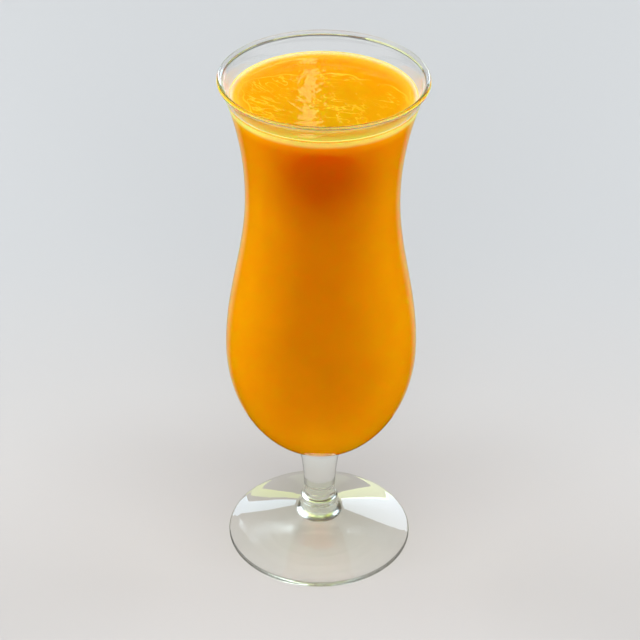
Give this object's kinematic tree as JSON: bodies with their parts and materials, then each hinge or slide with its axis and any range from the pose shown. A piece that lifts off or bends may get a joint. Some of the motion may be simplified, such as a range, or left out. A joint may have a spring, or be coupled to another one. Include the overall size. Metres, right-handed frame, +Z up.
{
  "type": "mango lassi in a stemmed hurricane glass",
  "caption": "Thick yellow-orange mango yoghurt drink in a clear stemmed glass with a bulb, a waist, a flared mouth and a round foot.",
  "frame": {"origin": "centre of the foot, on the surface the glass stands on", "axes": "+Z up the axis of the stem, about which the glass is turned"},
  "size_m": [0.076, 0.076, 0.206],
  "materials": {
    "glass": "clear, fire-polished, faintly green at thick edges",
    "lassi": "thick opaque fruit and yoghurt drink with a wet, slightly lumpy top"
  },
  "bodies": {
    "root": {"glass": "glass", "lassi": "lassi"}
  },
  "joints": []
}
